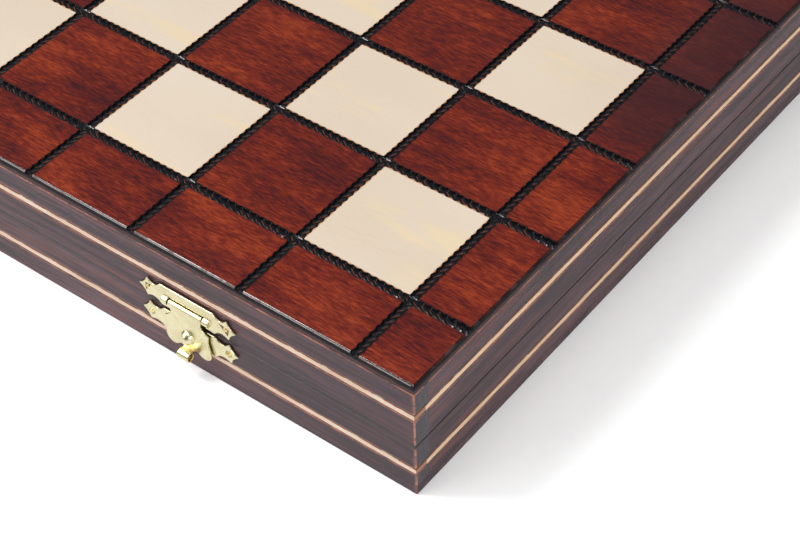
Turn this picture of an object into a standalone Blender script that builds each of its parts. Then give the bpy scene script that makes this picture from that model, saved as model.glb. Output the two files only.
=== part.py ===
"""A flat wooden chess case: a hinged lid that carries the playing board, and a base that holds the men.

Metres, +Z up. The origin is the middle of the underside. The latches are on the front (-Y), the
hinges on the back (+Y), and the files of the board run along Y.
"""

from math import atan2, cos, pi, radians, sin

import bmesh
import bpy
from mathutils import Matrix, Vector

GAP = 0.0003  # clearance between two pieces that touch
MM = 0.001
INSET = 0.0001  # keeps a face clear of the one it would otherwise share a plane with

# Board and case
SQUARE = 0.045
FILES = 8
SIDE_BORDER = 0.022
END_BORDER = 0.0275
BOARD_X = FILES * SQUARE + 2 * SIDE_BORDER
BOARD_Y = FILES * SQUARE + 2 * END_BORDER
CASE_HEIGHT = 0.0493
BOARD_PANEL = 0.0032
BASE_PANEL = 0.003
WALL = 0.006
SEAM_Z = 0.0222
BASE_WALL_Z = (BASE_PANEL + GAP, SEAM_Z - GAP / 2)
LID_WALL_Z = (SEAM_Z + GAP / 2, CASE_HEIGHT - BOARD_PANEL - GAP)
GROOVE_WIDTH = 0.0034
GROOVE_DEPTH = 0.0012

# Inlay strips let into the walls
INLAY_HEIGHT = 0.002
INLAY_DEPTH = 0.0012
LID_INLAY_Z = 0.0353
BASE_INLAY_Z = 0.0107

# Inside
FELT = 0.001
DIVIDER = 0.004
FELT_TOP = BASE_PANEL + GAP + FELT

# Brass fittings. Both the latches and the hinges reach this far from the walls.
REACH = 0.0062
PLATE = 0.0008
LATCH_X = BOARD_X / 2 - 0.090
HINGE_X = 0.130
HASP_AXIS_Z = 0.0275
HASP_AXIS_OUT = 0.0015
BARREL_RADIUS = 0.0012
BARREL_HALF = 0.0070
JOURNAL_RADIUS = 0.0006
BORE_RADIUS = 0.0009
KNUCKLE_END = 0.0100
KNUCKLE_RADIUS = 0.0014
HASP_PLATE_OUT = 0.0015
CURL_RADIUS = 0.0018
CURL_BORE = 0.0011
CURL_HALF = 0.0024
CURL_Z = 0.0096
FISHTAIL_SAG = 0.0006
DOME_Z = 0.0160
DOME_RADIUS = 0.0028
DOME_HEIGHT = 0.0017
LEAF_WIDTH = 0.030
LEAF_HEIGHT = 0.012
LEAF = 0.001
HINGE_RADIUS = 0.0029
HINGE_BORE = 0.0013
PIN_RADIUS = 0.0010
HINGE_OUT = REACH - HINGE_RADIUS

ROUND_SIDES = 16
MAN_SIDES = 12
SHARP_ANGLE = radians(35)
CORNERS = ((1, 1), (-1, 1), (-1, -1), (1, -1))

# Chess men: height and foot diameter
MEN = {
    "king": (0.085, 0.033),
    "queen": (0.076, 0.032),
    "bishop": (0.067, 0.029),
    "knight": (0.062, 0.029),
    "rook": (0.052, 0.030),
    "pawn": (0.047, 0.026),
}
BACK_RANK = ("rook", "knight", "bishop", "queen", "king", "bishop", "knight", "rook")
MAN_PITCH = 0.0480
FOOT_MARGIN = 0.018  # from the bay's end to the feet of the back rank
PAWN_MARGIN = 0.007  # from the divider to the feet of the pawns
RIM = 0.07  # a foot's rim, as a share of its man's height


def clear_scene():
    for obj in list(bpy.data.objects):
        bpy.data.objects.remove(obj, do_unlink=True)


def material(name, colour, roughness, metallic=0.0):
    made = bpy.data.materials.new(name)
    made.use_nodes = True
    shader = made.node_tree.nodes["Principled BSDF"]
    shader.inputs["Base Color"].default_value = (*colour, 1.0)
    shader.inputs["Roughness"].default_value = roughness
    shader.inputs["Metallic"].default_value = metallic
    made.diffuse_color = (*colour, 1.0)
    return made


def materials():
    return {
        "case_wood": material("case_wood", (0.14, 0.10, 0.11), 0.45),
        "dark_square": material("dark_square", (0.16, 0.022, 0.014), 0.30),
        "light_square": material("light_square", (0.80, 0.67, 0.53), 0.35),
        "burnt_line": material("burnt_line", (0.010, 0.011, 0.015), 0.35),
        "inlay_wood": material("inlay_wood", (0.75, 0.60, 0.45), 0.45),
        "brass": material("brass", (0.83, 0.76, 0.52), 0.25, 1.0),
        "felt": material("felt", (0.02, 0.13, 0.06), 0.95),
        "light_men": material("light_men", (0.80, 0.62, 0.40), 0.35),
        "dark_men": material("dark_men", (0.10, 0.03, 0.015), 0.35),
    }


def mesh_object(name, bm, finish, location=(0, 0, 0)):
    """The object made from a bmesh, with its normals facing out."""
    bmesh.ops.recalc_face_normals(bm, faces=bm.faces)
    mesh = bpy.data.meshes.new(name)
    bm.to_mesh(mesh)
    bm.free()
    obj = bpy.data.objects.new(name, mesh)
    obj.location = location
    bpy.context.scene.collection.objects.link(obj)
    for slot in finish if isinstance(finish, tuple) else (finish,):
        mesh.materials.append(slot)
    return obj


def helper(obj):
    """Marks a cutter or a shape that a union takes in: it is no part of the object."""
    obj.hide_render = True
    obj.display_type = "WIRE"
    return obj


def boolean(obj, other, operation):
    modifier = obj.modifiers.new(operation.lower(), "BOOLEAN")
    modifier.operation = operation
    modifier.object = other
    modifier.solver = "EXACT"


def merged(name, pieces, cutters, finish):
    """One mesh from overlapping pieces, less the cutters. All of them are removed afterwards."""
    first = pieces[0]
    for other in pieces[1:]:
        boolean(first, other, "UNION")
    for cutter in cutters:
        boolean(first, cutter, "DIFFERENCE")
    graph = bpy.context.evaluated_depsgraph_get()
    mesh = bpy.data.meshes.new_from_object(first.evaluated_get(graph))
    mesh.name = name
    mesh.materials.clear()
    mesh.materials.append(finish)
    for obj in pieces + cutters:
        bpy.data.objects.remove(obj, do_unlink=True)
    return mesh


def placed(name, mesh, matrix):
    obj = bpy.data.objects.new(name, mesh)
    bpy.context.scene.collection.objects.link(obj)
    obj.matrix_basis = matrix
    return obj


def pivot(name, location):
    """An empty on a joint's axis."""
    empty = bpy.data.objects.new(name, None)
    empty.location = location
    bpy.context.scene.collection.objects.link(empty)
    return empty


def keep_on(parent, *children):
    """Parents the pieces to the pivot of their joint without moving them."""
    for child in children:
        child.parent = parent
        child.matrix_parent_inverse = parent.matrix_basis.inverted()


def block(low, high):
    bm = bmesh.new()
    size = [b - a for a, b in zip(low, high)]
    centre = [(a + b) / 2 for a, b in zip(low, high)]
    bmesh.ops.create_cube(bm, size=1, matrix=Matrix.Translation(centre) @ Matrix.Diagonal((*size, 1)))
    return bm


def frame_ring(half_x, half_y, depth, z_low, z_high):
    """A rectangular ring lying flat: the given half sizes outside, and depth wide."""
    bm = bmesh.new()
    loops = []
    for x, y, z in (
        (half_x, half_y, z_low),
        (half_x, half_y, z_high),
        (half_x - depth, half_y - depth, z_high),
        (half_x - depth, half_y - depth, z_low),
    ):
        loops.append([bm.verts.new((side_x * x, side_y * y, z)) for side_x, side_y in CORNERS])
    for first, second in zip(loops, loops[1:] + loops[:1]):
        for i in range(len(CORNERS)):
            j = (i + 1) % len(CORNERS)
            bm.faces.new((first[i], first[j], second[j], second[i]))
    return bm


def prism(outline, low, high):
    """An outline in X and Z, closed off between two values of Y."""
    bm = bmesh.new()
    face = bm.faces.new([bm.verts.new((x, low, z)) for x, z in outline])
    risen = bmesh.ops.extrude_face_region(bm, geom=[face])["geom"]
    moved = [v for v in risen if isinstance(v, bmesh.types.BMVert)]
    bmesh.ops.translate(bm, verts=moved, vec=(0, high - low, 0))
    return bm


def turned(profile, sides):
    """A solid of revolution about Z from a profile of (radius, z) that starts and ends on the axis."""
    bm = bmesh.new()
    rings = []
    for radius, z in profile:
        if radius < 1e-6:
            rings.append([bm.verts.new((0, 0, z))])
        else:
            angles = [2 * pi * i / sides for i in range(sides)]
            rings.append([bm.verts.new((radius * cos(a), radius * sin(a), z)) for a in angles])
    for lower, upper in zip(rings, rings[1:]):
        for i in range(sides):
            corners = [lower[i % len(lower)], lower[(i + 1) % len(lower)]]
            corners += [upper[(i + 1) % len(upper)], upper[i % len(upper)]]
            bm.faces.new(dict.fromkeys(corners))
    return bm


def tube(radius, bore, x_low, x_high, y, z):
    """A round tube along X, centred on y and z. A bore of 0 makes a rod."""
    if bore:
        profile = [(bore, x_low), (radius, x_low), (radius, x_high), (bore, x_high), (bore, x_low)]
    else:
        profile = [(0, x_low), (radius, x_low), (radius, x_high), (0, x_high)]
    bm = turned(profile, ROUND_SIDES)
    bmesh.ops.remove_doubles(bm, verts=bm.verts, dist=1e-7)
    here = Matrix.Translation((0, y, z)) @ Matrix.Rotation(pi / 2, 4, "Y")
    bmesh.ops.transform(bm, verts=bm.verts, matrix=here)
    return bm


def smooth(mesh):
    mesh.shade_smooth()
    mesh.set_sharp_from_angle(angle=SHARP_ANGLE)


def arc(start, end, sag, steps):
    """Points after start up to end along a curve that bows to the right of the way by sag."""
    (x0, z0), (x1, z1) = start, end
    nx, nz = (z1 - z0), -(x1 - x0)
    length = (nx * nx + nz * nz) ** 0.5
    points = []
    for i in range(1, steps + 1):
        t = i / steps
        bow = 4 * sag * t * (1 - t) / length
        points.append((x0 + (x1 - x0) * t + nx * bow, z0 + (z1 - z0) * t + nz * bow))
    return points


# ---------------------------------------------------------------- board and case


def board_panel(finish):
    """The playing surface: a sheet with burnt V grooves round its squares, run out to its edges."""
    def stations(border, total):
        values = [-total / 2]
        for line in range(FILES + 1):
            middle = -total / 2 + border + line * SQUARE
            values += [middle - GROOVE_WIDTH / 2, middle, middle + GROOVE_WIDTH / 2]
        return values + [total / 2]

    xs = stations(SIDE_BORDER, BOARD_X)
    ys = stations(END_BORDER, BOARD_Y)

    def is_bottom(i, values):
        return 0 < i < len(values) - 1 and i % 3 == 2

    def in_groove(i, values):
        return 0 < i < len(values) - 2 and i % 3 != 0

    bm = bmesh.new()
    grid = []
    for i, x in enumerate(xs):
        row = []
        for j, y in enumerate(ys):
            low = is_bottom(i, xs) or is_bottom(j, ys)
            row.append(bm.verts.new((x, y, CASE_HEIGHT - (GROOVE_DEPTH if low else 0))))
        grid.append(row)
    for i in range(len(xs) - 1):
        for j in range(len(ys) - 1):
            face = bm.faces.new((grid[i][j], grid[i + 1][j], grid[i + 1][j + 1], grid[i][j + 1]))
            column, rank = (i - 3) // 3, (j - 3) // 3
            on_board = 0 <= column < FILES and 0 <= rank < FILES
            if in_groove(i, xs) or in_groove(j, ys):
                face.material_index = 2
            elif on_board and (column + rank) % 2:
                face.material_index = 1
    rim = [grid[i][0] for i in range(len(xs))]
    rim += [grid[-1][j] for j in range(1, len(ys))]
    rim += [grid[i][-1] for i in range(len(xs) - 2, -1, -1)]
    rim += [grid[0][j] for j in range(len(ys) - 2, 0, -1)]
    under = [bm.verts.new((v.co.x, v.co.y, CASE_HEIGHT - BOARD_PANEL)) for v in rim]
    for i in range(len(rim)):
        j = (i + 1) % len(rim)
        bm.faces.new((rim[j], rim[i], under[i], under[j]))
    bm.faces.new(under)
    slots = (finish["dark_square"], finish["light_square"], finish["burnt_line"])
    return mesh_object("board_panel", bm, slots)


def groove_cutter(name, z):
    """Cuts the rebate for an inlay ring into the four walls of one half."""
    reach = 2 * WALL
    half_height = INLAY_HEIGHT / 2 + GAP
    ring = frame_ring(
        BOARD_X / 2 + reach,
        BOARD_Y / 2 + reach,
        reach + INLAY_DEPTH + GAP,
        z - half_height,
        z + half_height,
    )
    return helper(mesh_object(name, ring, ()))


def half_case(half, z_range, inlay_z, finish):
    """Four walls with butted corners, and the pale ring let into them."""
    cutter = groove_cutter(half + "_groove_cutter", inlay_z)
    low, high = z_range
    x, y = BOARD_X / 2, BOARD_Y / 2
    side_y = y - WALL - GAP
    walls = {
        "front": ((-x, -y, low), (x, WALL - y, high)),
        "back": ((-x, y - WALL, low), (x, y, high)),
        "left": ((-x, -side_y, low), (WALL - x, side_y, high)),
        "right": ((x - WALL, -side_y, low), (x, side_y, high)),
    }
    made = []
    for side, (corner, opposite) in walls.items():
        wall = mesh_object(f"{half}_wall_{side}", block(corner, opposite), finish["case_wood"])
        boolean(wall, cutter, "DIFFERENCE")
        made.append(wall)
    ring = frame_ring(x, y, INLAY_DEPTH, inlay_z - INLAY_HEIGHT / 2, inlay_z + INLAY_HEIGHT / 2)
    made.append(mesh_object(half + "_inlay", ring, finish["inlay_wood"]))
    return made


def inside_block(name, x_half, y_low, y_high, z_low, z_high, finish):
    return mesh_object(name, block((-x_half, y_low, z_low), (x_half, y_high, z_high)), finish)


def lining(finish):
    """Base sheet, felt linings and the two dividers."""
    x = BOARD_X / 2
    y = BOARD_Y / 2
    inner_x = x - WALL - GAP
    inner_y = y - WALL - GAP
    inside_block("base_panel", x, -y, y, 0, BASE_PANEL, finish["case_wood"])
    inside_block("base_felt", inner_x, -inner_y, inner_y, BASE_PANEL + GAP, FELT_TOP, finish["felt"])
    low = FELT_TOP + GAP
    high = BASE_WALL_Z[1] - GAP
    for name, side in (("front", -1), ("back", 1)):
        middle = side * divider_y()
        edges = (middle - DIVIDER / 2, middle + DIVIDER / 2)
        inside_block("divider_" + name, inner_x, *edges, low, high, finish["case_wood"])
    top = LID_WALL_Z[1]
    return inside_block("lid_felt", inner_x, -inner_y, inner_y, top - FELT, top, finish["felt"])


def divider_y():
    """Distance of each divider's middle from the middle of the case: three equal bays."""
    bay = (BOARD_Y - 2 * WALL - 2 * DIVIDER) / 3
    return bay / 2 + DIVIDER / 2


# ---------------------------------------------------------------- brass fittings


def arm_outline(shoulder, waist_top, tip_top, tip, tip_low, waist_low, corner):
    """One arm of a latch plate, from its upper shoulder round the fishtail to its lower corner."""
    points = [shoulder]
    points += arc(shoulder, tip_top, waist_top, 5)
    points += arc(tip_top, tip, FISHTAIL_SAG, 3)
    points += arc(tip, tip_low, FISHTAIL_SAG, 3)
    points += arc(tip_low, corner, waist_low, 5)
    return points


def mirrored(half):
    """The whole outline from its right half, listed from the top down."""
    return half + [(-x, z) for x, z in reversed(half)]


def upper_plate_mesh(finish):
    """The plate on the lid: two arms, and two knuckles beside the slot for the hasp's barrel."""
    z = HASP_AXIS_Z
    half = arm_outline(
        (11.2 * MM, 32.6 * MM),
        1.7 * MM,
        (16.8 * MM, 32.4 * MM),
        (20.4 * MM, 28.3 * MM),
        (17.2 * MM, 24.2 * MM),
        1.5 * MM,
        (11.3 * MM, 23.5 * MM),
    )
    slot = BARREL_HALF + GAP
    half += [(slot, 23.5 * MM), (slot, z + BARREL_RADIUS + GAP)]
    plate = mesh_object("plate", prism(mirrored(half), -GAP - PLATE, -GAP), finish)
    knuckles = []
    bores = []
    for side in (-1, 1):
        ends = sorted((side * (slot + INSET), side * KNUCKLE_END))
        knuckle = tube(KNUCKLE_RADIUS, 0, *ends, -HASP_AXIS_OUT, z)
        knuckles.append(mesh_object("knuckle", knuckle, finish))
        bore_ends = sorted((side * (slot - MM), side * (KNUCKLE_END - PLATE)))
        bore = tube(BORE_RADIUS, 0, *bore_ends, -HASP_AXIS_OUT, z)
        bores.append(helper(mesh_object("bore", bore, finish)))
    return merged("latch_upper_plate", [plate] + knuckles, bores, finish)


def lower_plate_mesh(finish):
    """The plate on the base, with the same arms; the hasp closes over its body."""
    half = arm_outline(
        (10.8 * MM, 21.8 * MM),
        1.7 * MM,
        (16.9 * MM, 21.8 * MM),
        (20.4 * MM, 17.7 * MM),
        (17.2 * MM, 13.5 * MM),
        1.5 * MM,
        (10.6 * MM, 12.4 * MM),
    )
    plate = mesh_object("plate", prism(mirrored(half), -GAP - PLATE, -GAP), finish)
    return merged("latch_lower_plate", [plate], [], finish)


def hasp_mesh(finish):
    """Barrel with its journals, waisted plate with two lobes, snap dome, and a lip that rolls into a curl."""
    neck = HASP_AXIS_Z - BARREL_RADIUS / 2
    half = [(BARREL_HALF - INSET, neck), (6.2 * MM, 24.2 * MM)]
    half += arc(half[-1], (9.3 * MM, 21.2 * MM), 0.5 * MM, 3)
    half += arc(half[-1], (9.2 * MM, 15.2 * MM), 0.5 * MM, 4)
    lobe = (6.6 * MM, 12.6 * MM)
    for step in range(7):
        turn = radians(30 - 150 * step / 6)
        half.append((lobe[0] + 3.1 * MM * cos(turn), lobe[1] + 3.1 * MM * sin(turn)))
    tab = CURL_HALF - INSET
    lip_top = CURL_Z + CURL_RADIUS - INSET
    lip_low = lip_top - PLATE
    half += [(3.6 * MM, 11.2 * MM), (tab, 11.0 * MM), (tab, lip_low + INSET)]
    out = HASP_PLATE_OUT
    plate = mesh_object("plate", prism(mirrored(half), -out - PLATE, -out), finish)
    lip_half = tab - INSET
    lip_shape = block((-lip_half, CURL_RADIUS - REACH, lip_low), (lip_half, -out - INSET, lip_top))
    lip = mesh_object("lip", lip_shape, finish)
    axis = (-HASP_AXIS_OUT, HASP_AXIS_Z)
    barrel = mesh_object("barrel", tube(BARREL_RADIUS, 0, -BARREL_HALF, BARREL_HALF, *axis), finish)
    reach = KNUCKLE_END - PLATE - GAP
    journals = mesh_object("journals", tube(JOURNAL_RADIUS, 0, -reach, reach, *axis), finish)
    roll = (CURL_RADIUS - REACH, CURL_Z)
    curl = mesh_object("curl", tube(CURL_RADIUS, 0, -CURL_HALF, CURL_HALF, *roll), finish)
    bore = helper(mesh_object("bore", tube(CURL_BORE, 0, -2 * CURL_HALF, 2 * CURL_HALF, *roll), finish))
    steps = [radians(90 * i / 3) for i in range(4)]
    profile = [(0, -PLATE / 2)] + [(DOME_RADIUS * cos(a), DOME_HEIGHT * sin(a)) for a in steps]
    profile[1:1] = [(DOME_RADIUS, -PLATE / 2)]
    dome_shape = turned(profile[:-1] + [(0, DOME_HEIGHT)], ROUND_SIDES)
    face = Matrix.Translation((0, -out - PLATE, DOME_Z)) @ Matrix.Rotation(pi / 2, 4, "X")
    bmesh.ops.transform(dome_shape, verts=dome_shape.verts, matrix=face)
    dome = mesh_object("dome", dome_shape, finish)
    return merged("hasp", [plate, barrel, journals, lip, curl, dome], [bore], finish)


def hinge_leaf_mesh(side, finish):
    """A butt hinge's leaf about its own axis: side is 1 for the lid's leaf and -1 for the base's."""
    knuckle = LEAF_WIDTH / 3
    near = HINGE_RADIUS + 2 * GAP
    face = GAP - HINGE_OUT
    heights = sorted((side * near, side * LEAF_HEIGHT))
    plate = block((-LEAF_WIDTH / 2, face, heights[0]), (LEAF_WIDTH / 2, face + LEAF, heights[1]))
    pieces = [mesh_object("leaf", plate, finish)]
    bores = []
    middles = [0] if side > 0 else [-knuckle, knuckle]
    for middle in middles:
        x_low, x_high = middle - knuckle / 2 + GAP / 2, middle + knuckle / 2 - GAP / 2
        tab_z = sorted((0, side * (near + LEAF)))
        tab = block((x_low, face, tab_z[0]), (x_high, face + LEAF, tab_z[1]))
        pieces.append(mesh_object("tab", tab, finish))
        pieces.append(mesh_object("knuckle", tube(HINGE_RADIUS, 0, x_low, x_high, 0, 0), finish))
        bore = tube(HINGE_BORE, 0, x_low - MM, x_high + MM, 0, 0)
        bores.append(helper(mesh_object("bore", bore, finish)))
    return merged("hinge_leaf", pieces, bores, finish)


def fittings(finish, lid):
    """Both latches on the front and both hinges on the back."""
    brass = finish["brass"]
    upper, lower, hasp = upper_plate_mesh(brass), lower_plate_mesh(brass), hasp_mesh(brass)
    front = -BOARD_Y / 2
    for side, x in (("left", -LATCH_X), ("right", LATCH_X)):
        here = Matrix.Translation((x, front, 0))
        keep_on(lid, placed(f"latch_{side}_upper_plate", upper, here))
        placed(f"latch_{side}_lower_plate", lower, here)
        axis = pivot(f"hasp_{side}_pivot", (x, front - HASP_AXIS_OUT, HASP_AXIS_Z))
        keep_on(lid, axis)
        keep_on(axis, placed(f"hasp_{side}", hasp, here))
    lid_leaf, base_leaf = hinge_leaf_mesh(1, brass), hinge_leaf_mesh(-1, brass)
    reach = LEAF_WIDTH / 2 - GAP
    pin_shape = mesh_object("pin", tube(PIN_RADIUS, 0, -reach, reach, 0, 0), brass)
    pin = pin_shape.data
    bpy.data.objects.remove(pin_shape, do_unlink=True)
    for mesh in (upper, lower, hasp, lid_leaf, base_leaf, pin):
        smooth(mesh)
    for side, x in (("left", -HINGE_X), ("right", HINGE_X)):
        here = Matrix.Translation((x, BOARD_Y / 2 + HINGE_OUT, SEAM_Z))
        keep_on(lid, placed(f"hinge_{side}_lid_leaf", lid_leaf, here))
        placed(f"hinge_{side}_base_leaf", base_leaf, here)
        placed(f"hinge_{side}_pin", pin, here)


# ---------------------------------------------------------------- chess men


def ball(radius, z, start, steps):
    """The profile of a ball from an angle above its lowest point to its top."""
    angles = [radians(start + (180 - start) * i / steps) for i in range(steps)]
    return [(radius * sin(a), z - radius * cos(a)) for a in angles] + [(0, z + radius)]


def foot(radius, height, stem, neck_z):
    """Profile from the underside up the foot and the stem, in shares of the whole height."""
    return [
        (0, 0),
        (radius, 0),
        (radius, RIM * height),
        (0.80 * radius, 0.15 * height),
        (0.62 * radius, 0.20 * height),
        (stem, neck_z),
    ]


def man_profile(kind, height, radius):
    """The turned outline of a man. A knight's stops at the collar its head stands on."""
    h, r = height, radius
    if kind == "pawn":
        collar = [(0.60 * r, 0.59 * h), (0.60 * r, 0.64 * h)]
        return foot(r, h, 0.34 * r, 0.57 * h) + collar + ball(0.19 * h, 0.81 * h, 25, 5)
    if kind == "rook":
        top = [(0.72 * r, 0.70 * h), (0.76 * r, h), (0.55 * r, h), (0.52 * r, 0.90 * h), (0, 0.90 * h)]
        return foot(r, h, 0.52 * r, 0.66 * h) + top
    if kind == "knight":
        return foot(r, h, 0.70 * r, 0.26 * h) + [(0.74 * r, 0.28 * h), (0.74 * r, 0.33 * h), (0, 0.33 * h)]
    if kind == "bishop":
        collar = [(0.55 * r, 0.58 * h), (0.55 * r, 0.62 * h), (0.32 * r, 0.64 * h)]
        mitre = [(0.50 * r, 0.74 * h), (0.40 * r, 0.85 * h), (0.12 * r, 0.93 * h)]
        return foot(r, h, 0.30 * r, 0.57 * h) + collar + mitre + ball(0.035 * h, 0.965 * h, 60, 2)
    collar = [(0.58 * r, 0.60 * h), (0.58 * r, 0.64 * h), (0.36 * r, 0.66 * h)]
    crown = [(0.62 * r, 0.87 * h), (0.50 * r, 0.91 * h)]
    body = foot(r, h, 0.32 * r, 0.59 * h) + collar + crown
    if kind == "queen":
        return body + [(0.14 * r, 0.935 * h)] + ball(0.032 * h, 0.968 * h, 60, 2)
    return body + [(0, 0.935 * h)]


def king_cross(height):
    """The upright and the arms, from half widths and heights that are shares of the king's height."""
    bars = ((0.016, 0.016, 0.91, 1.0), (0.038, 0.014, 0.953, 0.978))
    crosses = []
    for half_x, half_y, low, high in bars:
        corner = Vector((half_x, half_y, high)) * height
        crosses.append(block((-corner.x, -corner.y, low * height), corner))
    return crosses


def horse_head(height, radius):
    """The knight's head in side view, facing +X, cut from a board."""
    h = height
    crest = [(-0.17, 0.30), (-0.22, 0.50), (-0.16, 0.74), (-0.03, 0.92), (0.02, 1.00), (0.07, 0.92)]
    muzzle = [(0.22, 0.78), (0.30, 0.65), (0.24, 0.57), (0.10, 0.62)]
    throat = [(0.06, 0.55), (0.16, 0.40), (0.17, 0.30)]
    outline = [(x * h, z * h) for x, z in crest + muzzle + throat]
    return [prism(outline, -0.36 * radius, 0.36 * radius)]


def man_mesh(kind, finish):
    height, diameter = MEN[kind]
    radius = diameter / 2
    shapes = [turned(man_profile(kind, height, radius), MAN_SIDES)]
    if kind == "king":
        shapes += king_cross(height)
    if kind == "knight":
        shapes += horse_head(height, radius)
    pieces = [mesh_object(kind, shape, finish) for shape in shapes]
    mesh = merged(kind, pieces, [], finish)
    smooth(mesh)
    return mesh


def resting_tilt(kind):
    """How far a man lying on its side dips towards its head, resting on its foot and its widest part."""
    height, diameter = MEN[kind]
    radius = diameter / 2
    head_radius, head_z = {
        "king": (0.62 * radius, 0.87 * height),
        "queen": (0.62 * radius, 0.87 * height),
        "bishop": (0.50 * radius, 0.74 * height),
        "knight": (0.36 * radius, 1.00 * height),
        "rook": (0.76 * radius, height),
        "pawn": (0.19 * height, 0.81 * height),
    }[kind]
    return atan2(radius - head_radius, head_z - RIM * height)


def lay_man(name, kind, mesh, x, foot_y, toward):
    """Lays a man on the felt with its foot at foot_y and its head toward -Y or +Y."""
    height, diameter = MEN[kind]
    tilt = resting_tilt(kind)
    rest_z = FELT_TOP + GAP + diameter / 2 * cos(tilt) + RIM * height * sin(tilt)
    turn = Matrix.Rotation(-toward * (pi / 2 + tilt), 4, "X")
    placed(name, mesh, Matrix.Translation(Vector((x, foot_y, rest_z))) @ turn)


def chess_men(finish):
    """Light men in the front bay, dark men in the back bay, and the pawns head to head between them."""
    rank_y = BOARD_Y / 2 - WALL - FOOT_MARGIN
    pawn_y = divider_y() - DIVIDER / 2 - PAWN_MARGIN
    for colour, toward in (("light", 1), ("dark", -1)):
        shapes = {kind: man_mesh(kind, finish[colour + "_men"]) for kind in MEN}
        seen = {}
        for column, kind in enumerate(BACK_RANK):
            x = (column - (len(BACK_RANK) - 1) / 2) * MAN_PITCH
            seen[kind] = seen.get(kind, 0) + 1
            number = f"_{seen[kind]}" if BACK_RANK.count(kind) > 1 else ""
            lay_man(f"{colour}_{kind}{number}", kind, shapes[kind], x, -toward * rank_y, toward)
            lay_man(f"{colour}_pawn_{column + 1}", "pawn", shapes["pawn"], x, -toward * pawn_y, toward)


def main():
    clear_scene()
    finish = materials()
    lid = pivot("lid_pivot", (0, BOARD_Y / 2 + HINGE_OUT, SEAM_Z))
    keep_on(lid, board_panel(finish))
    keep_on(lid, *half_case("lid", LID_WALL_Z, LID_INLAY_Z, finish))
    half_case("base", BASE_WALL_Z, BASE_INLAY_Z, finish)
    keep_on(lid, lining(finish))
    fittings(finish, lid)
    chess_men(finish)


main()
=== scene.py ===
"""Chess set with board: the finished look of every piece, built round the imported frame.

The frame is in metres. X runs along the front, where the two latches are, -Y is the front and +Z is
up, with the origin in the middle of the underside. The lid carries the playing board, and the men
lie in the base.
"""

from math import atan2, cos, pi, radians, sin

import bmesh
import bpy
import numpy as np
from mathutils import Matrix, Vector


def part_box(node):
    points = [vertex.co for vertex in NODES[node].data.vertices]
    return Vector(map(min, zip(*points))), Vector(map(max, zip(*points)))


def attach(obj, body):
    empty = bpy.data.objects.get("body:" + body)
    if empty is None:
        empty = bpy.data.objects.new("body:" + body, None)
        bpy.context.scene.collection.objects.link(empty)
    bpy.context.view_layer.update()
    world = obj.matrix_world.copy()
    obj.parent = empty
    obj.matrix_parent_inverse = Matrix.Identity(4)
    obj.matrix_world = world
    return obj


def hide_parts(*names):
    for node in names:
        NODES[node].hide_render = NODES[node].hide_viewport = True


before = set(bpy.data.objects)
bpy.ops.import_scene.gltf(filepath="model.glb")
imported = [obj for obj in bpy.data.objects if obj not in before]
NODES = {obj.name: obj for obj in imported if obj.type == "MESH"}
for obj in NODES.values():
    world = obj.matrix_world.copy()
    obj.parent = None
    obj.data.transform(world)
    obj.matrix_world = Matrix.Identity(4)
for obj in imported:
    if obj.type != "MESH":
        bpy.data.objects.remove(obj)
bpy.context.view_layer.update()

MM = 0.001

# The playing board
PANEL_LOW, PANEL_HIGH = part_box("board_panel")
SQUARE = 0.045
FILES = 8
LINES = [(i - FILES / 2) * SQUARE for i in range(FILES + 1)]
LINE_HALF = 1.6 * MM
ACROSS_LINE = (-1.0, -0.88, -0.46, 0.0, 0.46, 0.88, 1.0)  # samples across a line, in half widths
ALONG_STEP = 0.6 * MM
ARRIS_STEPS = ((0.14 * MM, 0.04 * MM), (0.72 * MM, 0.56 * MM), (0.86 * MM, 0.90 * MM))  # out and down
ARRIS = ARRIS_STEPS[-1][0]
ROPE_DEPTH = 0.85 * MM
ROPE_RISE = 0.55 * MM
ROPE_SHOULDER = 0.12
STRAND_PITCH = 3.0 * MM
STRAND_SLANT = 0.8
SCALLOP = 0.18
CORNER_FLARE = 0.25 * MM
CORNER_REACH = 0.8 * MM
BOARD_FINISHES = ("stained_veneer", "pale_veneer", "burnt_line", "panel_edge", "glossy_arris")
DARK, LIGHT, BURNT, EDGE, GLOSSY = range(5)

# The case
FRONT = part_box("lid_wall_front")[0].y
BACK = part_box("lid_wall_back")[1].y
SEAM_Z = (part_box("base_wall_front")[1].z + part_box("lid_wall_front")[0].z) / 2
INLAY_Z = [sum(corner.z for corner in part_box(name)) / 2 for name in ("lid_inlay", "base_inlay")]
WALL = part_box("lid_wall_front")[1].y - FRONT
BASE_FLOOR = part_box("base_panel")[1].z
WALL_TONES = (
    (0.014, 0.0075, 0.0125),
    (0.049, 0.0245, 0.0320),
    (0.102, 0.054, 0.066),
    (0.130, 0.038, 0.034),
)

# The fittings
LATCH_X = (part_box("hasp_right")[0].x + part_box("hasp_right")[1].x) / 2
HINGE_X = (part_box("hinge_right_pin")[0].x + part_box("hinge_right_pin")[1].x) / 2
PLATE_FACE = 1.1 * MM  # how far a latch plate's face stands off the wall
BRAD_OUT = 16.35 * MM
BRAD_RADIUS = 1.05 * MM
UPPER_BRAD_Z = 28.6 * MM
LOWER_BRAD_Z = 17.4 * MM
BRAD_HOLLOW = 1.4 * BRAD_RADIUS
DOME_Z = 16.0 * MM
CROWN_Z = 30.4 * MM  # the raised band across an upper plate: its middle, half height and half width
CROWN_HALF = 2.3 * MM
CROWN_END = 11.4 * MM

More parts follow.
